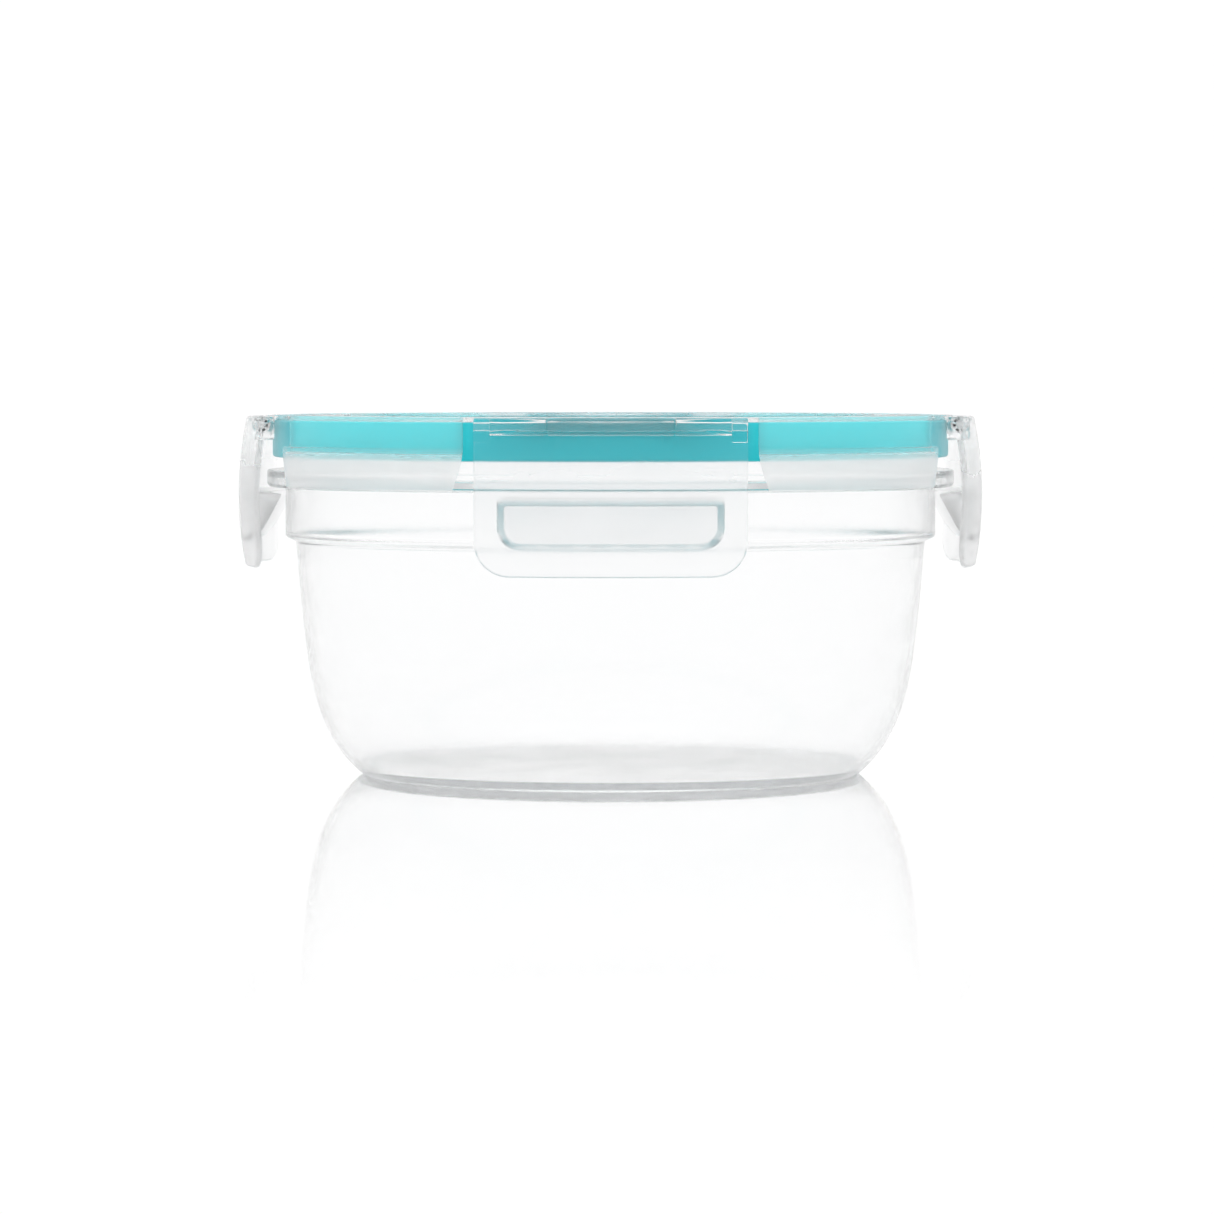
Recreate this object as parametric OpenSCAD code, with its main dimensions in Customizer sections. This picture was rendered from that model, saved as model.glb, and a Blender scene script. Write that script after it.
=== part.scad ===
// Round snap-lid food container: a thin-walled bowl, a flat lid with a soft seal under it,
// and four latches that turn on pins at the lid's edge and hook under the bowl's flange.
// Millimetres. Origin at the centre of the foot ring, +Z up, the front latch towards -Y.

/* [Bowl] */
// Wall thickness of the bowl
bowl_wall = 1.4; // [1.2:0.1:1.6]
// Radius that the bowl's straight wall would have at the table
wall_line_r = 68.5; // [68:0.1:69]
// Outward draft of the wall, in mm for each mm of height
wall_draft = 0.07; // [0.06:0.005:0.075]
// How far the soft corner pulls the wall in at the table
corner_depth = 11.6; // [10:0.2:13]
// Height over which the soft corner dies away
corner_rise = 10; // [8:0.5:12]
// Height of the shoulder where the bowl widens into its collar
shoulder_z = 53.5; // [51:0.5:54]
// Outer radius of the collar and of the rim above it
collar_r = 74.6; // [74.4:0.1:74.8]
// Height of the rim's top edge
rim_z = 75.5; // [74:0.1:75.5]

/* [Flange] */
// Outer radius of the flange that the latches hold
flange_r = 78.8; // [78.6:0.1:78.8]
// Height of the flange's upper face
flange_top_z = 69.9; // [69.6:0.1:70]
// Height of the lower edge of the flange's turned-down lip
flange_low_z = 66; // [66:0.05:66.1]

/* [Lid] */
// Height of the lid's upper face
lid_top_z = 82.3; // [82.2:0.1:82.4]
// Thickness of the lid's top
lid_thick = 1.3; // [1.1:0.1:1.4]
// Outer radius of the upper skirt
upper_skirt_r = 78.6; // [78.5:0.1:78.8]
// Outer radius of the lower skirt
lower_skirt_r = 80.1; // [80.1:0.1:80.4]
// Height of the step between the two skirts
skirt_step_z = 75.5; // [75:0.1:76]
// Height of the lower skirt's lower edge
skirt_low_z = 66.2; // [66:0.1:67]
// Radius of the shallow recess that takes the foot of a bowl stacked on top
recess_r = 61; // [59:0.5:63]
// Depth of that recess
recess_depth = 1.2; // [0.8:0.1:1.4]
// Half the width of the opening in the skirt for each latch
notch_half = 32; // [31.5:0.25:33]

/* [Latches] */
// Distance of each hinge pin from the centre of the lid
hinge_r = 78.4; // [78.3:0.05:78.5]
// Radius of a hinge pin
pin_r = 0.9; // [0.8:0.05:1]
// Radial clearance of the pin in its holes
pin_gap = 0.05; // [0.03:0.01:0.08]
// Half the width of a latch
latch_half = 29.5; // [28:0.25:29.5]
// Thickness of a latch's face
latch_thick = 1.3; // [1.1:0.1:1.4]
// Largest outer radius of a latch's bowed face
latch_max_r = 85.3; // [85:0.1:85.6]
// Height of a latch's lower edge
latch_low_z = 48; // [46:0.5:50]
// Half the width of the hollow hook behind a latch's face
hook_half = 24.4; // [22:0.2:25]

/* [Hidden] */
$fn = 96;

FRONT = 270; // direction of each latch about Z, in degrees
RIGHT = 0;
BACK = 90;
LEFT = 180;

over = 1; // how far a cut runs past the face that it cuts

// Bowl
foot_in_r = 54.5; // inner radius of the ring that the bowl stands on
foot_lift = 0.8; // how far the bowl's bottom is held off the table
floor_z = 2; // upper face of the bowl's floor
wall_steps = 14; // straight pieces that the curved wall is drawn with
inner_start_z = 1.2; // wall height at which the inner corner meets the floor
shoulder_rise = 1.1; // height of the sloping shoulder
lip_in_r = 76.3; // inner radius of the flange's turned-down lip
flange_thick = 1.3;
cam_in = 0.65; // width of the sloping face under the lip that a latch rides on
cam_up = 0.75; // height of that face
edge = 0.4; // small bevel on the bowl's edges

// Lid
skirt_thick = 1.2;
lower_skirt_thick = 1;
lid_edge = 0.8; // bevel round the lid's top
groove_in_r = 71.6; // inner radius of the groove that holds the seal
groove_rib_low = 75; // lower edge of the rib inside that groove
lid_notch_r = 77.3; // lid's radius inside each latch's opening
notch_flare = 2.4; // how much wider the opening is at the bottom, on each side
notch_flare_z = 75; // height where the flare starts
roof_z = lid_top_z - lid_thick;

// Seal: a soft ring with a slot underneath that fits over the bowl's rim
seal_out_r = 77.2;
seal_low_z = 72.8;
seal_inner_low_z = 74;
seal_gap = 0.3; // room between the seal and the bowl's rim

// Hinges
barrel_r = 1.9; // outside radius of a hinge barrel
hinge_z = lid_top_z - barrel_r;
hole_r = pin_r + pin_gap;
lid_barrel_half = 13.5; // half length of the barrel on the lid
barrel_gap = 0.4; // room between the lid's barrel and the latch's barrels
latch_barrel_half = 29.5;
pin_half = 29.2;
cheek_in = 26; // the latch's end blocks reach from here to the ends
cheek_low_z = 77;
cheek_inner = 75.5;
cheek_outer = 80.6;

// Latches
latch_top_z = 82.1;
latch_mid_z = 64; // height of the widest point of the bowed face
latch_bow = 84; // radius of the bow in side view
latch_steps = 10;
latch_corner = 7.7; // radius of the lower corners
web_inner = 81.4; // inner edge of the latch's top web
sector = 30; // half angle that the revolved latch pieces cover
hook_reach_r = 78; // radius that the hook reaches in to, under the flange
hook_top_z = 65.35;
hook_tip = 1.05; // height of the hook's blunt tip
hook_low_z = 53.7; // where the hook's sloping back meets the face
hook_corner = 5.2;
hook_end_wall = 1.5;
ledge_low_z = 63.45; // underside of the hook's ledge
hollow_in_r = 80; // radius that the hollow reaches in to, under the ledge
hollow_low_z = 55.4;

// Outer radius of the bowl's wall at height z
function wall_r(z) = wall_line_r + wall_draft * z - corner_depth * exp(-z / corner_rise);
// How much that radius grows for each mm of height
function wall_slope(z) = wall_draft + corner_depth / corner_rise * exp(-z / corner_rise);
// A point of the wall at height z, moved inwards square to the wall
function wall_point(z, inset) =
    let (s = wall_slope(z), n = sqrt(1 + s * s))
    [wall_r(z) - inset / n, z + inset * s / n];
// Heights from low to high that lie closer together near the table
function wall_heights(low, high) =
    [for (i = [0:wall_steps]) low + (high - low) * pow(i / wall_steps, 2)];
// Outer radius of a latch's face at height z
function latch_r(z) = latch_max_r - pow(z - latch_mid_z, 2) / (2 * latch_bow);
// A list in the opposite order
function backwards(list) = [for (i = [len(list) - 1:-1:0]) list[i]];

module container_body() {
    color("WhiteSmoke", 0.45) rotate_extrude() polygon(concat(
        [[0, foot_lift], [foot_in_r, foot_lift], [foot_in_r + foot_lift, 0]],
        [for (z = wall_heights(0, shoulder_z)) wall_point(z, 0)],
        [
            [collar_r, shoulder_z + shoulder_rise],
            [collar_r, flange_top_z - flange_thick],
            [lip_in_r, flange_top_z - flange_thick],
            [lip_in_r, flange_low_z],
            [flange_r - cam_in, flange_low_z],
            [flange_r, flange_low_z + cam_up],
            [flange_r, flange_top_z - edge],
            [flange_r - edge, flange_top_z],
            [collar_r, flange_top_z],
            [collar_r, rim_z - edge],
            [collar_r - edge, rim_z],
            [collar_r - bowl_wall + edge, rim_z],
            [collar_r - bowl_wall, rim_z - edge],
            [collar_r - bowl_wall, shoulder_z + bowl_wall + shoulder_rise / 2]
        ],
        backwards([for (z = wall_heights(inner_start_z, shoulder_z)) wall_point(z, bowl_wall)]),
        [[0, floor_z]]
    ));
}

// Two rounded lower corners and square upper ones, drawn in the plane of width and height
module tab_outline(half, low, high, corner) {
    translate([-half, low + corner]) square([2 * half, high - low - corner]);
    translate([corner - half, low]) square([2 * (half - corner), corner + over]);
    for (side = [-1, 1]) translate([side * (half - corner), low + corner]) circle(corner);
}

// Turns a drawing of width and height to face along +X and gives it depth
module facing_out(near, far) {
    translate([near, 0, 0]) rotate([90, 0, 90]) linear_extrude(far - near) children();
}

// A rod along a hinge's axis, for the latch that faces +X
module hinge_rod(r, low, high) {
    translate([hinge_r, low, hinge_z]) rotate([-90, 0, 0]) cylinder(r = r, h = high - low);
}

// A revolved piece that covers only the latch's own sector
module latch_sector() {
    rotate([0, 0, -sector]) rotate_extrude(angle = 2 * sector) children();
}

module lid_profile() {
    rim_in_r = recess_r + recess_depth;
    polygon([
        [0, lid_top_z - recess_depth], [recess_r, lid_top_z - recess_depth],
        [rim_in_r, lid_top_z], [upper_skirt_r - lid_edge, lid_top_z],
        [upper_skirt_r, lid_top_z - lid_edge], [upper_skirt_r, skirt_step_z],
        [lower_skirt_r - edge, skirt_step_z], [lower_skirt_r, skirt_step_z - edge],
        [lower_skirt_r, skirt_low_z], [lower_skirt_r - lower_skirt_thick, skirt_low_z],
        [lower_skirt_r - lower_skirt_thick, skirt_step_z - skirt_thick],
        [upper_skirt_r - skirt_thick, skirt_step_z - skirt_thick],
        [upper_skirt_r - skirt_thick, roof_z], [groove_in_r, roof_z],
        [groove_in_r, groove_rib_low], [groove_in_r - skirt_thick, groove_rib_low],
        [groove_in_r - skirt_thick, roof_z], [rim_in_r, roof_z],
        [recess_r, roof_z - recess_depth], [0, roof_z - recess_depth]
    ]);
}

// The space that one latch needs in the lid's skirt
module latch_notch() {
    wide = notch_half + notch_flare;
    difference() {
        facing_out(0, lower_skirt_r + over) polygon([
            [-notch_half, lid_top_z + over], [notch_half, lid_top_z + over],
            [notch_half, notch_flare_z], [wide, skirt_low_z - over],
            [-wide, skirt_low_z - over], [-notch_half, notch_flare_z]
        ]);
        translate([0, 0, skirt_low_z - 2 * over])
            cylinder(r = lid_notch_r, h = lid_top_z - skirt_low_z + 4 * over);
    }
}

// The barrel that carries one latch's pin, with the shelf that joins it to the lid
module lid_lug() {
    hinge_rod(barrel_r, -lid_barrel_half, lid_barrel_half);
    translate([groove_in_r, -lid_barrel_half, roof_z])
        cube([hinge_r - groove_in_r, 2 * lid_barrel_half, lid_thick]);
}

module lid_shell() {
    color("WhiteSmoke", 0.4) difference() {
        union() {
            difference() {
                rotate_extrude() lid_profile();
                for (turn = [FRONT, RIGHT, BACK, LEFT]) rotate([0, 0, turn]) latch_notch();
            }
            for (turn = [FRONT, RIGHT, BACK, LEFT]) rotate([0, 0, turn]) lid_lug();
        }
        for (turn = [FRONT, RIGHT, BACK, LEFT]) rotate([0, 0, turn])
            hinge_rod(hole_r, -lid_barrel_half - over, lid_barrel_half + over);
    }
}

module seal_ring() {
    rim_in_r = collar_r - bowl_wall;
    color("MediumTurquoise") difference() {
        rotate_extrude() polygon([
            [groove_in_r + seal_gap, roof_z], [seal_out_r, roof_z],
            [seal_out_r, seal_low_z], [collar_r + seal_gap, seal_low_z],
            [collar_r + seal_gap, rim_z + seal_gap], [rim_in_r - seal_gap, rim_z + seal_gap],
            [rim_in_r - seal_gap, seal_inner_low_z], [groove_in_r + seal_gap, seal_inner_low_z]
        ]);
        for (turn = [FRONT, RIGHT, BACK, LEFT]) rotate([0, 0, turn])
            hinge_rod(barrel_r + seal_gap, -lid_barrel_half - seal_gap, lid_barrel_half + seal_gap);
    }
}

module latch_face() {
    heights = [for (i = [0:latch_steps])
        latch_low_z + (latch_top_z - latch_low_z) * i / latch_steps];
    intersection() {
        latch_sector() polygon(concat(
            [for (z = heights) [latch_r(z), z]],
            backwards([for (z = heights) [latch_r(z) - latch_thick, z]])
        ));
        facing_out(groove_in_r, latch_max_r + over)
            tab_outline(latch_half, latch_low_z, latch_top_z + over, latch_corner);
    }
}

// The shelf behind the latch's top edge, which stops short of the lid's barrel
module latch_web() {
    top_r = latch_r(latch_top_z);
    intersection() {
        latch_sector() polygon([
            [hinge_r, latch_top_z - latch_thick], [top_r, latch_top_z - latch_thick],
            [top_r, latch_top_z], [hinge_r, latch_top_z]
        ]);
        union() {
            translate([web_inner, -latch_half, 0])
                cube([latch_max_r - web_inner, 2 * latch_half, lid_top_z]);
            for (side = [0, 180]) rotate([side, 0, 0])
                translate([hinge_r, lid_barrel_half + barrel_gap, -lid_top_z])
                    cube([latch_max_r - hinge_r, latch_half - lid_barrel_half - barrel_gap,
                          2 * lid_top_z]);
        }
    }
}

// The two barrels that turn on the pin, with the block at each end of the latch
module latch_barrels() {
    for (side = [0, 1]) mirror([0, side, 0]) {
        hinge_rod(barrel_r, lid_barrel_half + barrel_gap, latch_barrel_half);
        translate([cheek_inner, cheek_in, cheek_low_z])
            cube([cheek_outer - cheek_inner, latch_barrel_half - cheek_in,
                  latch_top_z - cheek_low_z]);
    }
}

// The outside of the hook: a ledge that holds the flange, on a back that slopes to the face
module hook_body() {
    low_r = latch_r(hook_low_z) - latch_thick;
    intersection() {
        latch_sector() polygon([
            [latch_r(hook_top_z) - latch_thick / 2, hook_top_z], [hook_reach_r, hook_top_z],
            [hook_reach_r, hook_top_z - hook_tip], [low_r, hook_low_z],
            [low_r + latch_thick / 2, hook_low_z]
        ]);
        facing_out(groove_in_r, latch_max_r)
            tab_outline(hook_half, hook_low_z, hook_top_z + over, hook_corner);
    }
}

// The space inside the hook, between its back and the latch's face
module hook_hollow() {
    intersection() {
        latch_sector() polygon([
            [latch_r(ledge_low_z) - latch_thick, ledge_low_z], [hollow_in_r, ledge_low_z],
            [latch_r(hollow_low_z) - latch_thick, hollow_low_z]
        ]);
        facing_out(groove_in_r, latch_max_r)
            tab_outline(hook_half - hook_end_wall, hollow_low_z, ledge_low_z + over,
                        hook_corner - hook_end_wall);
    }
}

module latch(turn) {
    color("WhiteSmoke", 0.5) rotate([0, 0, turn]) difference() {
        union() {
            latch_face();
            latch_web();
            latch_barrels();
            hook_body();
        }
        hook_hollow();
        hinge_rod(hole_r, -latch_barrel_half - over, latch_barrel_half + over);
    }
}

module hinge_pin(turn) {
    color("Gainsboro") rotate([0, 0, turn]) hinge_rod(pin_r, -pin_half, pin_half);
}

container_body();
lid_shell();
seal_ring();
latch(FRONT);  // front_latch
latch(RIGHT);  // right_latch
latch(BACK);  // back_latch
latch(LEFT);  // left_latch
hinge_pin(FRONT);  // front_hinge_pin
hinge_pin(RIGHT);  // right_hinge_pin
hinge_pin(BACK);  // back_hinge_pin
hinge_pin(LEFT);  // left_hinge_pin
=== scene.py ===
import math

import bmesh
import bpy
from mathutils import Matrix, Vector
from mathutils.geometry import delaunay_2d_cdt


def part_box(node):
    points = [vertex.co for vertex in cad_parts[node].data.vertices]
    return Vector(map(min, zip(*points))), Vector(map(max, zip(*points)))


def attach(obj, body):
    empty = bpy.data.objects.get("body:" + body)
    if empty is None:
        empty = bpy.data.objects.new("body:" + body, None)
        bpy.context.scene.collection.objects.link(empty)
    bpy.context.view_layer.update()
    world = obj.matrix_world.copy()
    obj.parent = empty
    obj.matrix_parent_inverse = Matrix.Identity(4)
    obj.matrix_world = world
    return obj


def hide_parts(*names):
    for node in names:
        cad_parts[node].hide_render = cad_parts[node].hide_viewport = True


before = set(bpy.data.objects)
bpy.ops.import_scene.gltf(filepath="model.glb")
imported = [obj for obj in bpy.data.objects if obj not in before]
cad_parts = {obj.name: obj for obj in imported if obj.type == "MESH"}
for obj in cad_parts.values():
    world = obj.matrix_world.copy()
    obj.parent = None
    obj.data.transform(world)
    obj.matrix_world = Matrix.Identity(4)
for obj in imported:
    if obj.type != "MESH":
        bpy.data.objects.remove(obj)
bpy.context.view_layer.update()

# The pieces are drawn in millimetres and stored in metres.
MM = 0.001
SIDES = {"front": 270, "right": 0, "back": 90, "left": 180}  # direction of each latch, in degrees


def top_of(node):
    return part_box(node)[1].z / MM


def low_of(node):
    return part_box(node)[0].z / MM


def reach_of(node):
    """The largest radius of a round node."""
    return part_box(node)[1].x / MM


# ---------------------------------------------------------------- sizes, from the frame
RIM_TOP = top_of("container_body")
FLANGE_R = reach_of("container_body")
LID_TOP = top_of("lid_shell")
LID_LOW = low_of("lid_shell")
SEAL_R = reach_of("seal_ring")
SEAL_LOW = low_of("seal_ring")
SEAL_TOP = top_of("seal_ring")
LATCH_R = reach_of("right_latch")
LATCH_LOW = low_of("right_latch")
LATCH_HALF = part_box("right_latch")[1].y / MM
PIN_LOW, PIN_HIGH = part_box("right_hinge_pin")
HINGE_R = (PIN_LOW.x + PIN_HIGH.x) / 2 / MM
HINGE_Z = (PIN_LOW.z + PIN_HIGH.z) / 2 / MM
PIN_R = (PIN_HIGH.z - PIN_LOW.z) / 2 / MM
PIN_HALF = PIN_HIGH.y / MM

# ---------------------------------------------------------------- sizes, as in the design
# The bowl. Its wall is a leaning line with a rounded corner at the bottom.
WALL = 1.4
WALL_LINE_R, WALL_DRAFT, CORNER_DEPTH, CORNER_RISE = 68.5, 0.07, 11.6, 10
FOOT_IN_R, FOOT_OUT_R, UNDERSIDE_Z, INSIDE_Z = 55.3, 56.7, 0.8, 2
SHOULDER_Z = 53.5
COLLAR_R = 74.6
FLANGE_TOP, FLANGE_BOTTOM, LIP_IN_R = 69.9, 66, 76.3

# The lid, with an upper and a lower skirt.
LID_THICK = 1.3
UPPER_SKIRT_R, UPPER_SKIRT_THICK, STEP_Z = 78.6, 1.2, 75.5
LOWER_SKIRT_R, LOWER_SKIRT_THICK = 80.1, 1
RECESS_R, RECESS_DEPTH = 61, 1.2
GROOVE_IN_R, GROOVE_WALL, GROOVE_LOW = 71.6, 1.2, 75
NOTCH_R, NOTCH_HALF, NOTCH_FLARE, NOTCH_FLARE_Z = 77.3, 32, 2.4, 75

# The seal. GAP is its play at the rim, the groove's wall and the hinge barrels. OVERLAP is how far
# its top and outer face are moved into the lid, since a top in the plane of the lid's roof renders
# as a dark ring.
SEAL_INNER_LOW = 74
GAP, OVERLAP = 0.3, 0.3

# The hinges.
BARREL_R, HOLE_R = 1.9, 0.95
LID_BARREL_HALF, LATCH_BARREL_IN = 13.5, 13.9

# The latches.
LATCH_TOP = 82.1
LATCH_THICK = 1.3
LATCH_MID_Z, LATCH_BOW = 64, 84
LATCH_CORNER = 7.7
WEB_IN_R = 81.4
CHEEK_IN, CHEEK_IN_R, CHEEK_OUT_R, CHEEK_LOW = 26, 75.5, 80.6, 77
HOOK_HALF, HOOK_LOW, HOOK_TOP, HOOK_CORNER = 24.4, 53.7, 65.35, 5.2
HOOK_R, HOOK_TIP, HOOK_END_WALL = 78, 1.05, 1.5
LEDGE_LOW, HOLLOW_R, HOLLOW_LOW = 63.45, 80, 55.4

# The finish of the meshes.
RING_STEPS = 288
WALL_LEVELS = 44
SHARP_ANGLE = 38


# ---------------------------------------------------------------- outlines
def wall_point(z, inset=0.0):
    """A point of the bowl's wall at height z, moved inwards square to the wall."""
    radius = WALL_LINE_R + WALL_DRAFT * z - CORNER_DEPTH * math.exp(-z / CORNER_RISE)
    slope = WALL_DRAFT + CORNER_DEPTH / CORNER_RISE * math.exp(-z / CORNER_RISE)
    n = math.hypot(1, slope)
    return radius - inset / n, z + inset * slope / n


def rounded(corners, steps=5):
    """A closed outline whose corners, each (x, y) or (x, y, radius), are rounded by arcs."""
    out = []
    for i, corner in enumerate(corners):
        here = Vector(corner[:2])
        if len(corner) == 2:
            out.append(here)
            continue
        back = Vector(corners[i - 1][:2]) - here
        on = Vector(corners[(i + 1) % len(corners)][:2]) - here
        half = back.angle(on) / 2
        cut = min(corner[2] / math.tan(half), 0.49 * back.length, 0.49 * on.length)
        middle = here + (back.normalized() + on.normalized()).normalized() * cut / math.cos(half)
        first = here + back.normalized() * cut - middle
        last = here + on.normalized() * cut - middle
        turn = first.angle_signed(last)
        for k in range(steps + 1):
            out.append(middle + Matrix.Rotation(-turn * k / steps, 2) @ first)
    return out


def tab_loop(half, low, high, low_r, high_r, inset, step=1.0):
    """Points along the outline of a tab with rounded corners, moved inwards by inset."""
    half, low, high = half - inset, low + inset, high - inset
    low_r, high_r = max(low_r - inset, 0.05), max(high_r - inset, 0.05)
    pts = []
    corners = (
        (half - low_r, low + low_r, low_r, -90), (half - high_r, high - high_r, high_r, 0),
        (high_r - half, high - high_r, high_r, 90), (low_r - half, low + low_r, low_r, 180),
    )
    for cx, cz, r, start in corners:
        n = max(3, math.ceil(r * math.pi / 2 / step * 1.6))
        for k in range(n + 1):
            a = math.radians(start + 90 * k / n)
            pts.append((cx + r * math.cos(a), cz + r * math.sin(a)))
    out = []
    for i, p in enumerate(pts):
        q = pts[(i + 1) % len(pts)]
        n = max(1, round(math.dist(p, q) / step))
        out += [(p[0] + (q[0] - p[0]) * k / n, p[1] + (q[1] - p[1]) * k / n) for k in range(n)]
    return out


def tab_depth(t, z, half, low, high, low_r, high_r):
    """How far inside a tab's outline a point lies; negative outside."""
    middle = (low + high) / 2
    r = low_r if z < middle else high_r
    x = abs(t) - half + r
    y = abs(z - middle) - (high - low) / 2 + r
    return r - math.hypot(max(x, 0), max(y, 0)) - min(max(x, y), 0)


def eased(x):
    """Rises smoothly from 0 to 1 as x does."""
    x = min(max(x, 0.0), 1.0)
    return x * x * (3 - 2 * x)


def along(points, z):
    """The value at z of a line through points, each (z, value), in rising order."""
    for (z0, v0), (z1, v1) in zip(points, points[1:]):
        if z <= z1:
            return v0 + (v1 - v0) * max(z - z0, 0) / (z1 - z0)
    return points[-1][1]


# ---------------------------------------------------------------- meshes
def new_object(name, verts, faces):
    mesh = bpy.data.meshes.new(name)
    mesh.from_pydata([Vector(v) * MM for v in verts], [], faces)
    bm = bmesh.new()
    bm.from_mesh(mesh)
    bmesh.ops.remove_doubles(bm, verts=bm.verts, dist=1e-7)
    bmesh.ops.recalc_face_normals(bm, faces=bm.faces)
    bm.to_mesh(mesh)
    bm.free()
    obj = bpy.data.objects.new(name, mesh)
    bpy.context.scene.collection.objects.link(obj)
    return obj


def lathe(name, outline, steps=RING_STEPS, closed=True):
    """Turns an outline of (radius, height) about Z. Points at radius 0 become poles."""
    verts, rings = [], []
    for r, z in outline:
        count = 1 if r < 1e-6 else steps
        rings.append((len(verts), count))
        for k in range(count):
            a = 2 * math.pi * (k + 0.5) / steps
            verts.append((r * math.cos(a), r * math.sin(a), z))
    faces = []
    pairs = list(zip(rings, rings[1:])) + ([(rings[-1], rings[0])] if closed else [])
    for (a, na), (b, nb) in pairs:
        for k in range(steps):
            n = (k + 1) % steps
            if na == nb == 1:
                break
            if na == 1:
                faces.append((a, b + k, b + n))
            elif nb == 1:
                faces.append((a + k, a + n, b))
            else:
                faces.append((a + k, a + n, b + n, b + k))
    return new_object(name, verts, faces)


def sheet(name, outline, loops, inner_r, outer_r, pitch):
    """A curved plate facing +X. outline and loops are closed lines of (width, height), and
    inner_r and outer_r give its two faces' radius about Z at each point."""
    pts, edges = [], []
    for loop in [outline, *loops]:
        first, n = len(pts), len(loop)
        pts += [Vector(p) for p in loop]
        edges += [(first + k, first + (k + 1) % n) for k in range(n)]
    cells = {}
    for p in pts:
        cells.setdefault((round(p.x / pitch), round(p.y / pitch)), []).append(p)

    def crowded(p):
        cx, cy = round(p.x / pitch), round(p.y / pitch)
        around = [(cx + i, cy + j) for i in (-1, 0, 1) for j in (-1, 0, 1)]
        return any((q - p).length < 0.6 * pitch for cell in around for q in cells.get(cell, ()))

    xs, zs = [p[0] for p in outline], [p[1] for p in outline]
    for j in range(int((max(zs) - min(zs)) / pitch) + 1):
        for i in range(int((max(xs) - min(xs)) / pitch) + 2):
            p = Vector((min(xs) + (i + 0.5 * (j % 2)) * pitch, min(zs) + (j + 0.5) * pitch))
            if not crowded(p):
                pts.append(p)
    flat, _, tris, _, _, _ = delaunay_2d_cdt(pts, edges, [], 1, 1e-5)
    n = len(flat)
    verts = []
    for radius_at in (outer_r, inner_r):
        for t, z in flat:
            r = radius_at(t, z)
            verts.append((math.sqrt(r * r - t * t), t, z))
    faces = [tuple(f) for f in tris] + [tuple(n + i for i in reversed(f)) for f in tris]
    rim = {}
    for f in tris:
        for a, b in zip(f, (*f[1:], f[0])):
            rim[(a, b)] = True
    faces += [(b, a, a + n, b + n) for a, b in rim if (b, a) not in rim]
    return new_object(name, verts, faces)


def prism(name, outline, low, high, bevel=0.0):
    """An outline of (x, y) raised from low to high, with its edges rounded."""
    n = len(outline)
    verts = [(x, y, z) for z in (low, high) for x, y in outline]
    faces = [tuple(range(n))[::-1], tuple(range(n, 2 * n))]
    faces += [(k, (k + 1) % n, n + (k + 1) % n, n + k) for k in range(n)]
    obj = new_object(name, verts, faces)
    if bevel:
        bm = bmesh.new()
        bm.from_mesh(obj.data)
        sharp = [e for e in bm.edges if e.calc_face_angle(0) > math.radians(40)]
        bmesh.ops.bevel(bm, geom=sharp, offset=bevel * MM, segments=3, profile=0.5, affect="EDGES")
        bm.to_mesh(obj.data)
        bm.free()
    return obj


def rod(name, radius, low, high, bevel, steps=48):
    """A rod along a hinge's axis, for the latch that faces +X."""
    outline = rounded([(0, low), (radius, low, bevel), (radius, high, bevel), (0, high)], 3)
    obj = lathe(name, outline, steps, closed=False)
    place = Matrix.Translation(Vector((HINGE_R, 0, HINGE_Z)) * MM) @ Matrix.Rotation(
        -math.pi / 2, 4, "X"
    )
    obj.data.transform(place)
    return obj


def combine(base, tool, operation):
    """Joins a tool to base, or cuts it away, and removes the tool."""
    mod = base.modifiers.new("combine", "BOOLEAN")
    mod.object, mod.operation, mod.solver = tool, operation, "EXACT"
    dg = bpy.context.evaluated_depsgraph_get()
    mesh = bpy.data.meshes.new_from_object(base.evaluated_get(dg))
    base.modifiers.clear()
    old = base.data
    base.data = mesh
    mesh.name = old.name
    bpy.data.meshes.remove(old)
    bpy.data.objects.remove(tool)
    return base


def turned(obj, name, degrees):
    """A copy of obj, turned about Z."""
    copy = bpy.data.objects.new(name, obj.data.copy())
    copy.data.transform(Matrix.Rotation(math.radians(degrees), 4, "Z"))
    bpy.context.scene.collection.objects.link(copy)
    return copy


def finished(obj):
    """Merges doubled points and shades smoothly, with true edges kept."""
    bm = bmesh.new()
    bm.from_mesh(obj.data)
    bmesh.ops.remove_doubles(bm, verts=bm.verts, dist=2e-6)
    bmesh.ops.dissolve_degenerate(bm, edges=bm.edges, dist=1e-6)
    bm.to_mesh(obj.data)
    bm.free()
    obj.data.shade_smooth()
    obj.data.set_sharp_from_angle(angle=math.radians(SHARP_ANGLE))
    return obj


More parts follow.
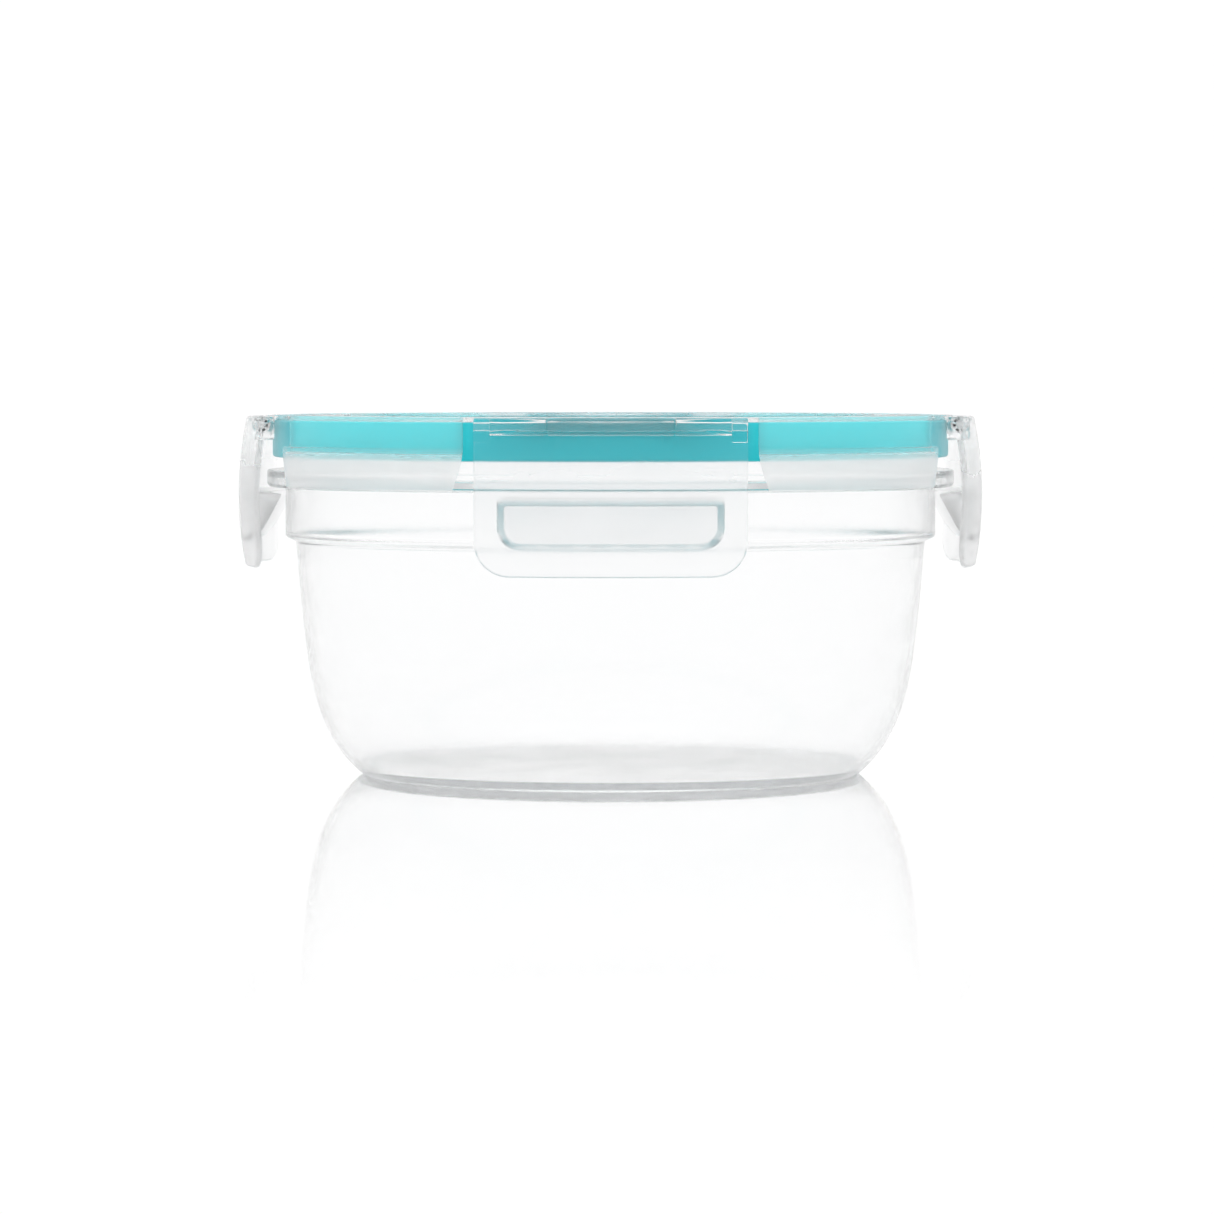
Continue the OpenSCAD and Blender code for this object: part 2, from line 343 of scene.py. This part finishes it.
# ---------------------------------------------------------------- bowl
def make_bowl():
    # The levels lie closer together low down, where the wall bends most.
    shares = [(k / WALL_LEVELS) ** 1.7 for k in range(WALL_LEVELS + 1)]
    outer = [wall_point(0.4 + (SHOULDER_Z - 0.4) * share) for share in shares]
    inner = [wall_point(1.3 + (SHOULDER_Z - 1.3) * share, WALL) for share in shares]
    outline = [
        (0, UNDERSIDE_Z), (FOOT_IN_R - 0.8, UNDERSIDE_Z, 0.3), (FOOT_IN_R, 0, 0.4),
        (FOOT_OUT_R, 0, 0.5), *outer[:-1],
        (*outer[-1], 1.0), (COLLAR_R, SHOULDER_Z + 1.1, 0.9),
        (COLLAR_R, FLANGE_TOP - LID_THICK, 0.5), (LIP_IN_R, FLANGE_TOP - LID_THICK, 0.5),
        (LIP_IN_R, FLANGE_BOTTOM, 0.35), (FLANGE_R - 0.65, FLANGE_BOTTOM, 0.3),
        (FLANGE_R, FLANGE_BOTTOM + 0.75, 0.6), (FLANGE_R, FLANGE_TOP, 0.5),
        (COLLAR_R, FLANGE_TOP, 0.5), (COLLAR_R, RIM_TOP, 0.62), (COLLAR_R - WALL, RIM_TOP, 0.62),
        (COLLAR_R - WALL, SHOULDER_Z + WALL + 0.55, 1.2), (*inner[-1], 1.0), *inner[-2::-1],
        (0, INSIDE_Z),
    ]
    return finished(lathe("bowl", rounded(outline), closed=False))


# ---------------------------------------------------------------- lid
def notch_edge(z):
    """Half the width of a latch's opening at height z."""
    return NOTCH_HALF + NOTCH_FLARE * max((NOTCH_FLARE_Z - z) / (NOTCH_FLARE_Z - LID_LOW), 0) ** 1.4


def make_notch_cutter():
    low, high = LID_LOW - 1, LID_TOP + 1
    heights = [low + (high - low) * k / 24 for k in range(25)]
    right = [(notch_edge(z), z) for z in heights]
    outline = [(-t, z) for t, z in right] + right[::-1]
    return sheet("notch", outline, [], lambda t, z: NOTCH_R, lambda t, z: LATCH_R + 2, 3.0)


def make_lid():
    rim_in = RECESS_R + RECESS_DEPTH
    roof = LID_TOP - LID_THICK
    inside = UPPER_SKIRT_R - UPPER_SKIRT_THICK
    groove_back = GROOVE_IN_R - GROOVE_WALL
    step_inside = STEP_Z - UPPER_SKIRT_THICK
    outline = [
        (0, LID_TOP - RECESS_DEPTH), (RECESS_R, LID_TOP - RECESS_DEPTH, 0.8),
        (rim_in, LID_TOP, 0.6), (UPPER_SKIRT_R, LID_TOP, 0.8), (UPPER_SKIRT_R, STEP_Z, 0.5),
        (LOWER_SKIRT_R, STEP_Z, 0.6), (LOWER_SKIRT_R, LID_LOW, 0.45),
        (LOWER_SKIRT_R - LOWER_SKIRT_THICK, LID_LOW, 0.45),
        (LOWER_SKIRT_R - LOWER_SKIRT_THICK, step_inside, 0.5),
        (inside, step_inside, 0.4), (inside, roof, 0.4), (GROOVE_IN_R, roof, 0.4),
        (GROOVE_IN_R, GROOVE_LOW, 0.5), (groove_back, GROOVE_LOW, 0.5), (groove_back, roof, 0.6),
        (rim_in, roof, 0.8), (RECESS_R, roof - RECESS_DEPTH, 0.8), (0, roof - RECESS_DEPTH),
    ]
    lid = lathe("lid", rounded(outline), closed=False)
    cutter = make_notch_cutter()
    shelf = prism("shelf", [
        (GROOVE_IN_R, -LID_BARREL_HALF), (HINGE_R, -LID_BARREL_HALF),
        (HINGE_R, LID_BARREL_HALF), (GROOVE_IN_R, LID_BARREL_HALF),
    ], roof, LID_TOP - 0.02, 0.2)
    barrel = rod("barrel", BARREL_R, -LID_BARREL_HALF, LID_BARREL_HALF, 0.25)
    lug = combine(shelf, barrel, "UNION")
    bore = rod("bore", HOLE_R, -LID_BARREL_HALF - 2, LID_BARREL_HALF + 2, 0.1)
    for degrees in SIDES.values():
        combine(lid, turned(cutter, "tool", degrees), "DIFFERENCE")
        combine(lid, turned(lug, "tool", degrees), "UNION")
        combine(lid, turned(bore, "tool", degrees), "DIFFERENCE")
    for tool in (cutter, lug, bore):
        bpy.data.objects.remove(tool)
    return finished(lid)


# ---------------------------------------------------------------- seal
def make_seal():
    """A ring with a slot for the bowl's rim, relieved where the hinge barrels pass."""
    slot_in, slot_out, slot_top = COLLAR_R - WALL - GAP, COLLAR_R + GAP, RIM_TOP + GAP
    inside, outside, top = GROOVE_IN_R + GAP, SEAL_R + OVERLAP, SEAL_TOP + OVERLAP
    outline = [
        (inside, top, 0.4), (outside, top, 0.5), (outside, SEAL_LOW, 0.7),
        (slot_out, SEAL_LOW, 0.7), (slot_out, slot_top, 0.5), (slot_in, slot_top, 0.5),
        (slot_in, SEAL_INNER_LOW, 0.4), (inside, SEAL_INNER_LOW, 0.4),
    ]
    seal = lathe("seal", rounded(outline))
    relief = rod("relief", BARREL_R + GAP, -LID_BARREL_HALF - GAP, LID_BARREL_HALF + GAP, 0.2)
    for degrees in SIDES.values():
        combine(seal, turned(relief, "tool", degrees), "DIFFERENCE")
    bpy.data.objects.remove(relief)
    return finished(seal)


# ---------------------------------------------------------------- latches
EDGE_R = 0.6  # rounding of the latch's edges
SOFT = 0.6  # width over which the hook's ends and ledge rise from the face
LATCH_TAB = (LATCH_HALF, LATCH_LOW, LATCH_TOP, LATCH_CORNER, 0.8)
HOOK_TAB = (HOOK_HALF, HOOK_LOW, HOOK_TOP, HOOK_CORNER, 1.0)
HOLLOW_TAB = (HOOK_HALF - HOOK_END_WALL, HOLLOW_LOW, LEDGE_LOW, HOOK_CORNER - HOOK_END_WALL, 0.6)


def latch_r(z):
    """The radius of the latch's face, which bows outwards."""
    return LATCH_R - (z - LATCH_MID_Z) ** 2 / (2 * LATCH_BOW)


def edge_drop(t, z):
    """How far the latch's rounded edge falls away from its face."""
    d = min(max(tab_depth(t, z, *LATCH_TAB), 0), EDGE_R)
    return EDGE_R - math.sqrt(EDGE_R ** 2 - (EDGE_R - d) ** 2)


def latch_front(t, z):
    return latch_r(z) - edge_drop(t, z)


# The backs of the hook and of the hollow inside it, as (height, radius).
HOOK_LINE = [
    (HOOK_LOW, latch_r(HOOK_LOW) - LATCH_THICK), (HOOK_TOP - HOOK_TIP, HOOK_R), (HOOK_TOP, HOOK_R),
]
HOLLOW_LINE = [(HOLLOW_LOW, latch_r(HOLLOW_LOW) - LATCH_THICK - 0.1), (LEDGE_LOW, HOLLOW_R)]


def latch_back(t, z):
    """The radius of the latch's back: it goes in at the hook, and at the top to meet the web."""
    face = latch_r(z) - LATCH_THICK
    share = eased(tab_depth(t, z, *HOOK_TAB) / SOFT)
    web_in = eased((z - LATCH_TOP + LATCH_THICK + 0.3) / 0.5) * max(face - math.hypot(WEB_IN_R, t), 0)
    return face - web_in + edge_drop(t, z) - share * (face - along(HOOK_LINE, z))


def make_latch():
    """The latch that faces +X. Known fault: where a web's end meets the bore, at LATCH_BARREL_IN on
    the +Y side, a strip of stray faces is left across the bore."""
    outline = tab_loop(*LATCH_TAB, 0)
    edge_insets = [EDGE_R * (1 - math.cos(math.radians(a))) for a in (30, 48, 64, 78, 90)]
    loops = [tab_loop(*LATCH_TAB, inset) for inset in edge_insets]
    loops += [tab_loop(*HOOK_TAB, SOFT * k / 6) for k in range(7)]
    latch = sheet("latch", outline, loops, latch_back, latch_front, 0.9)
    hollow = sheet("hollow", tab_loop(*HOLLOW_TAB, 0), [tab_loop(*HOLLOW_TAB, 0.4)],
                   lambda t, z: along(HOLLOW_LINE, z), lambda t, z: latch_r(z) - LATCH_THICK, 1.2)
    combine(latch, hollow, "DIFFERENCE")
    web_r = latch_r(LATCH_TOP) - LATCH_THICK / 2
    far_t = math.sqrt(web_r ** 2 - HINGE_R ** 2) - 0.1
    arc = [LATCH_BARREL_IN + (far_t - LATCH_BARREL_IN) * k / 12 for k in range(13)]
    for side in (1, -1):
        ends = sorted((side * LATCH_BARREL_IN, side * LATCH_HALF))
        combine(latch, rod("barrel", BARREL_R, *ends, 0.3), "UNION")
        web = [(HINGE_R, side * LATCH_BARREL_IN)]
        web += [(math.sqrt(web_r ** 2 - t * t), side * t) for t in arc]
        combine(latch, prism("web", web, LATCH_TOP - LATCH_THICK, LATCH_TOP, 0.2), "UNION")
        cheek = [
            (CHEEK_IN_R, side * CHEEK_IN), (CHEEK_OUT_R, side * CHEEK_IN),
            (CHEEK_OUT_R, side * LATCH_HALF), (CHEEK_IN_R, side * LATCH_HALF),
        ]
        combine(latch, prism("cheek", cheek, CHEEK_LOW, LATCH_TOP, 0.5), "UNION")
    combine(latch, rod("bore", HOLE_R, -LATCH_HALF - 2, LATCH_HALF + 2, 0.1), "DIFFERENCE")
    return finished(latch)


# ---------------------------------------------------------------- materials
# Every amount here was tuned to the photo. None is a measured value.
PLASTIC_IOR = 1.2


def new_material(name):
    mat = bpy.data.materials.new(name)
    mat.use_nodes = True
    return mat, mat.node_tree, mat.node_tree.nodes["Principled BSDF"]


def add_noise(tree, scale, detail=2.0, stretch=(1, 1, 1)):
    where = tree.nodes.new("ShaderNodeTexCoord")
    sized = tree.nodes.new("ShaderNodeMapping")
    sized.inputs["Scale"].default_value = stretch
    noise = tree.nodes.new("ShaderNodeTexNoise")
    noise.inputs["Scale"].default_value = scale
    noise.inputs["Detail"].default_value = detail
    tree.links.new(where.outputs["Object"], sized.inputs["Vector"])
    tree.links.new(sized.outputs["Vector"], noise.inputs["Vector"])
    return noise.outputs["Fac"]


def add_range(tree, source, low, high, from_low=0.3, from_high=0.7):
    spread = tree.nodes.new("ShaderNodeMapRange")
    ends = {"From Min": from_low, "From Max": from_high, "To Min": low, "To Max": high}
    for key, value in ends.items():
        spread.inputs[key].default_value = value
    tree.links.new(source, spread.inputs["Value"])
    return spread.outputs["Result"]


def add_math(tree, operation, *values):
    node = tree.nodes.new("ShaderNodeMath")
    node.operation = operation
    for socket, value in zip(node.inputs, values):
        if isinstance(value, (int, float)):
            socket.default_value = value
        else:
            tree.links.new(value, socket)
    return node.outputs["Value"]


def add_bump(tree, shader, source, strength, distance):
    bump = tree.nodes.new("ShaderNodeBump")
    bump.inputs["Strength"].default_value = strength
    bump.inputs["Distance"].default_value = distance
    tree.links.new(source, bump.inputs["Height"])
    tree.links.new(bump.outputs["Normal"], shader.inputs["Normal"])


def add_place(tree):
    """Where a point lies at rest: how far out in x and y, its height, and its radius."""
    where = tree.nodes.new("ShaderNodeTexCoord")
    split = tree.nodes.new("ShaderNodeSeparateXYZ")
    tree.links.new(where.outputs["Object"], split.inputs["Vector"])
    x, y, z = (split.outputs[k] for k in "XYZ")
    square = add_math(tree, "MULTIPLY_ADD", x, x, add_math(tree, "MULTIPLY", y, y))
    radius = add_math(tree, "SQRT", square)
    return add_math(tree, "ABSOLUTE", x), add_math(tree, "ABSOLUTE", y), z, radius


def add_step(tree, source, at, width=0.2):
    """Rises from 0 to 1 as source passes a size in millimetres."""
    return add_range(tree, source, 0, 1, (at - width) * MM, (at + width) * MM)


def clear_plastic(name, milk, rough, density):
    """Clear moulded polypropylene: see-through, a little milky, with faint flow marks. Its index
    of refraction is below the plastic's own 1.49, with which its edges came out darker than in
    the photo."""
    mat, tree, shader = new_material(name)
    shader.inputs["Base Color"].default_value = (0.997, 0.998, 0.999, 1)
    shader.inputs["IOR"].default_value = PLASTIC_IOR
    flow = add_noise(tree, 60, 3, (1, 1, 2.5))
    roughness = add_range(tree, flow, 0.75 * rough, 1.25 * rough)
    clear = add_range(tree, add_noise(tree, 25, 2), 1 - 1.2 * milk, 1 - 0.8 * milk)
    tree.links.new(roughness, shader.inputs["Roughness"])
    tree.links.new(clear, shader.inputs["Transmission Weight"])
    add_bump(tree, shader, add_noise(tree, 140, 2), 0.05, 0.0004)
    absorb = tree.nodes.new("ShaderNodeVolumeAbsorption")
    absorb.inputs["Color"].default_value = (0.72, 0.78, 0.80, 1)
    absorb.inputs["Density"].default_value = density
    tree.links.new(absorb.outputs["Volume"], tree.nodes["Material Output"].inputs["Volume"])
    return mat


def add_haze(mat, share, milk, rough):
    """Makes a clear plastic milkier and rougher where share is 1."""
    tree = mat.node_tree
    shader = tree.nodes["Principled BSDF"]
    for key, amount in (("Transmission Weight", -milk), ("Roughness", rough)):
        before = shader.inputs[key].links[0].from_socket
        tree.links.new(add_math(tree, "MULTIPLY_ADD", share, amount, before), shader.inputs[key])


def bowl_plastic():
    mat = clear_plastic("bowl_plastic", 0.010, 0.11, 8.0)
    z = add_place(mat.node_tree)[2]
    foot = add_range(mat.node_tree, z, 1, 0, 1 * MM, 5 * MM)
    add_haze(mat, foot, 0.02, 0.12)
    return mat


def lid_plastic():
    """Clear, but frosted on the skirt, most so below the step, and on the top. The lugs of the
    hinges stay plain."""
    mat = clear_plastic("lid_plastic", 0.012, 0.12, 4.0)
    tree = mat.node_tree
    x, y, z, radius = add_place(tree)
    furthest = add_math(tree, "MAXIMUM", x, y)
    off_lugs = add_range(tree, furthest, 1, 0, (NOTCH_R - 2) * MM, (NOTCH_R - 1) * MM)
    skirt = add_math(tree, "MULTIPLY", off_lugs, add_step(tree, radius, UPPER_SKIRT_R - 0.4))
    add_haze(mat, skirt, 0.09, 0.05)
    texture = add_range(tree, z, 1, 0, SEAL_LOW * MM, (STEP_Z + 0.5) * MM)
    add_haze(mat, add_math(tree, "MULTIPLY", skirt, texture), 0.24, 0.16)
    top = add_math(tree, "MULTIPLY", off_lugs, add_step(tree, z, LID_TOP - 0.8, 0.4))
    add_haze(mat, top, 0.1, 0.15)
    return mat


def latch_plastic():
    """Clear, with a light frosting over its lower part and a plainer top, where the hinge is."""
    mat = clear_plastic("latch_plastic", 0.008, 0.16, 1.5)
    z = add_place(mat.node_tree)[2]
    frosted = add_range(mat.node_tree, z, 1, 0, (SEAL_LOW - 5) * MM, (SEAL_TOP - 2) * MM)
    add_haze(mat, frosted, 0.006, 0.16)
    return mat


def seal_rubber():
    """Teal rubber, paler at a glancing angle. Behind the latches it is deeper, painted shade from the
    latches put in to match the photo, though the real seal is probably one colour."""
    mat, tree, shader = new_material("seal_rubber")
    x, y, _, _ = add_place(tree)
    sideways = add_math(tree, "MINIMUM", x, y)
    # Painted shade: this factor is 0 behind each latch, where the seal is painted darker as if the
    # latch shaded it, and 1 clear of the latches.
    clear_of_painted_shade = add_range(tree, sideways, 0, 1, LATCH_HALF * MM, (NOTCH_HALF + 2) * MM)
    mottled = add_math(tree, "MULTIPLY_ADD", add_noise(tree, 90, 4), 0.12, -0.06)
    mix = tree.nodes.new("ShaderNodeMix")
    mix.data_type = "RGBA"
    # Colour A is painted shade, the seal darkened where a latch stands in front of it; colour B is
    # the seal's own teal.
    mix.inputs["A"].default_value = (0.006, 0.53, 0.61, 1)
    mix.inputs["B"].default_value = (0.010, 0.83, 0.90, 1)
    tree.links.new(add_math(tree, "ADD", clear_of_painted_shade, mottled), mix.inputs["Factor"])
    tree.links.new(mix.outputs["Result"], shader.inputs["Base Color"])
    shader.inputs["Sheen Weight"].default_value = 0.5
    shader.inputs["Sheen Roughness"].default_value = 0.4
    tree.links.new(add_range(tree, add_noise(tree, 300, 2), 0.38, 0.5), shader.inputs["Roughness"])
    add_bump(tree, shader, add_noise(tree, 1500, 2), 0.15, 0.0002)
    return mat


# ---------------------------------------------------------------- stage
WHITE = 1.02  # the glow of the floor and of the surroundings
FLOOR_Z = -0.05  # just below the foot, so that the two don't share a plane


def floor_material():
    """A glowing white board under gloss: it mirrors what stands on it, less so further away. The
    fade is a studio device, not how a real board behaves."""
    mat = bpy.data.materials.new("floor_board")
    mat.use_nodes = True
    tree = mat.node_tree
    tree.nodes.remove(tree.nodes["Principled BSDF"])
    glow = tree.nodes.new("ShaderNodeEmission")
    glow.inputs["Strength"].default_value = WHITE
    gloss = tree.nodes.new("ShaderNodeBsdfGlossy")
    gloss.inputs["Color"].default_value = (1, 1, 1, 1)
    gloss.inputs["Roughness"].default_value = 0.05
    fresnel = tree.nodes.new("ShaderNodeFresnel")
    fresnel.inputs["IOR"].default_value = 1.45
    where = tree.nodes.new("ShaderNodeTexCoord")
    length = tree.nodes.new("ShaderNodeVectorMath")
    length.operation = "LENGTH"
    tree.links.new(where.outputs["Object"], length.inputs[0])
    fade = add_range(tree, length.outputs["Value"], 1, 0, 0.2, 0.45)
    strong = add_math(tree, "MULTIPLY", fresnel.outputs["Fac"], 1.6)
    gloss_share = add_math(tree, "MINIMUM", strong, 1)
    mix = tree.nodes.new("ShaderNodeMixShader")
    tree.links.new(add_math(tree, "MULTIPLY", gloss_share, fade), mix.inputs["Fac"])
    tree.links.new(glow.outputs["Emission"], mix.inputs[1])
    tree.links.new(gloss.outputs["BSDF"], mix.inputs[2])
    tree.links.new(mix.outputs["Shader"], tree.nodes["Material Output"].inputs["Surface"])
    return mat


def make_floor():
    steps, radius = 96, 6.0 / MM
    angles = [2 * math.pi * k / steps for k in range(steps)]
    verts = [(radius * math.cos(a), radius * math.sin(a), FLOOR_Z) for a in angles]
    floor = new_object("floor", verts, [tuple(range(steps))])
    floor.data.materials.append(floor_material())


def make_world():
    """White all round, with a greyer ceiling that shows only in gloss."""
    world = bpy.data.worlds.new("studio")
    bpy.context.scene.world = world
    world.use_nodes = True
    tree = world.node_tree
    back = tree.nodes["Background"]
    where = tree.nodes.new("ShaderNodeTexCoord")
    split = tree.nodes.new("ShaderNodeSeparateXYZ")
    tree.links.new(where.outputs["Generated"], split.inputs["Vector"])
    ramp = tree.nodes.new("ShaderNodeValToRGB")
    tree.links.new(split.outputs["Z"], ramp.inputs["Fac"])
    stops = ramp.color_ramp.elements
    stops[0].position, stops[0].color = 0.16, (1, 1, 1, 1)
    stops[1].position, stops[1].color = 0.5, (0.84, 0.855, 0.875, 1)
    path = tree.nodes.new("ShaderNodeLightPath")
    rays = (path.outputs["Is Reflection Ray"], path.outputs["Is Glossy Ray"])
    gloss = add_math(tree, "MULTIPLY", *rays)
    mix = tree.nodes.new("ShaderNodeMix")
    mix.data_type = "RGBA"
    tree.links.new(gloss, mix.inputs["Factor"])
    mix.inputs["A"].default_value = (1, 1, 1, 1)
    tree.links.new(ramp.outputs["Color"], mix.inputs["B"])
    tree.links.new(mix.outputs["Result"], back.inputs["Color"])
    back.inputs["Strength"].default_value = WHITE


def add_softbox(name, where, size, power):
    data = bpy.data.lights.new(name, "AREA")
    data.shape, data.size, data.energy = "SQUARE", size, power
    lamp = bpy.data.objects.new(name, data)
    lamp.location = where
    lamp.rotation_mode = "QUATERNION"
    lamp.rotation_quaternion = (Vector((0, 0, 0.05)) - Vector(where)).to_track_quat("-Z", "Y")
    bpy.context.scene.collection.objects.link(lamp)


def make_camera():
    """A long lens a little above the lid, looking slightly down."""
    eye_height, distance, pitch, lens = 0.093, 1.2, 2.62, 154.7
    data = bpy.data.cameras.new("camera")
    data.sensor_width, data.lens = 36, lens
    camera = bpy.data.objects.new("camera", data)
    camera.location = (-0.0008, -distance, eye_height)
    camera.rotation_euler = (math.radians(90 - pitch), 0, 0)
    bpy.context.scene.collection.objects.link(camera)
    bpy.context.scene.camera = camera


# ---------------------------------------------------------------- the object
def dress(obj, mat, body, node):
    obj.data.materials.clear()
    obj.data.materials.append(mat)
    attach(obj, body)
    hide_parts(node)


dress(make_bowl(), bowl_plastic(), "bowl", "container_body")
dress(make_lid(), lid_plastic(), "lid", "lid_shell")
dress(make_seal(), seal_rubber(), "lid", "seal_ring")
latch_material = latch_plastic()
pin_material = clear_plastic("pin_plastic", 0.02, 0.15, 1.5)
latch_shape = make_latch()
pin_shape = finished(rod("pin", PIN_R, -PIN_HALF, PIN_HALF, 0.25))
for side, degrees in SIDES.items():
    dress(turned(latch_shape, side + "_latch_moulding", degrees), latch_material,
          side + "_latch", side + "_latch")
    dress(turned(pin_shape, side + "_pin_rod", degrees), pin_material,
          side + "_pin", side + "_hinge_pin")
bpy.data.objects.remove(latch_shape)
bpy.data.objects.remove(pin_shape)

make_floor()
make_world()
add_softbox("overhead", (0, 0, 1.6), 1.4, 3)
make_camera()
scene = bpy.context.scene
scene.view_settings.view_transform = "Standard"
# Light is passed on many times inside clear walls, and stopping it early leaves black edges.
scene.cycles.max_bounces = 32
scene.cycles.glossy_bounces = 24
scene.cycles.transmission_bounces = 24
scene.cycles.diffuse_bounces = 6
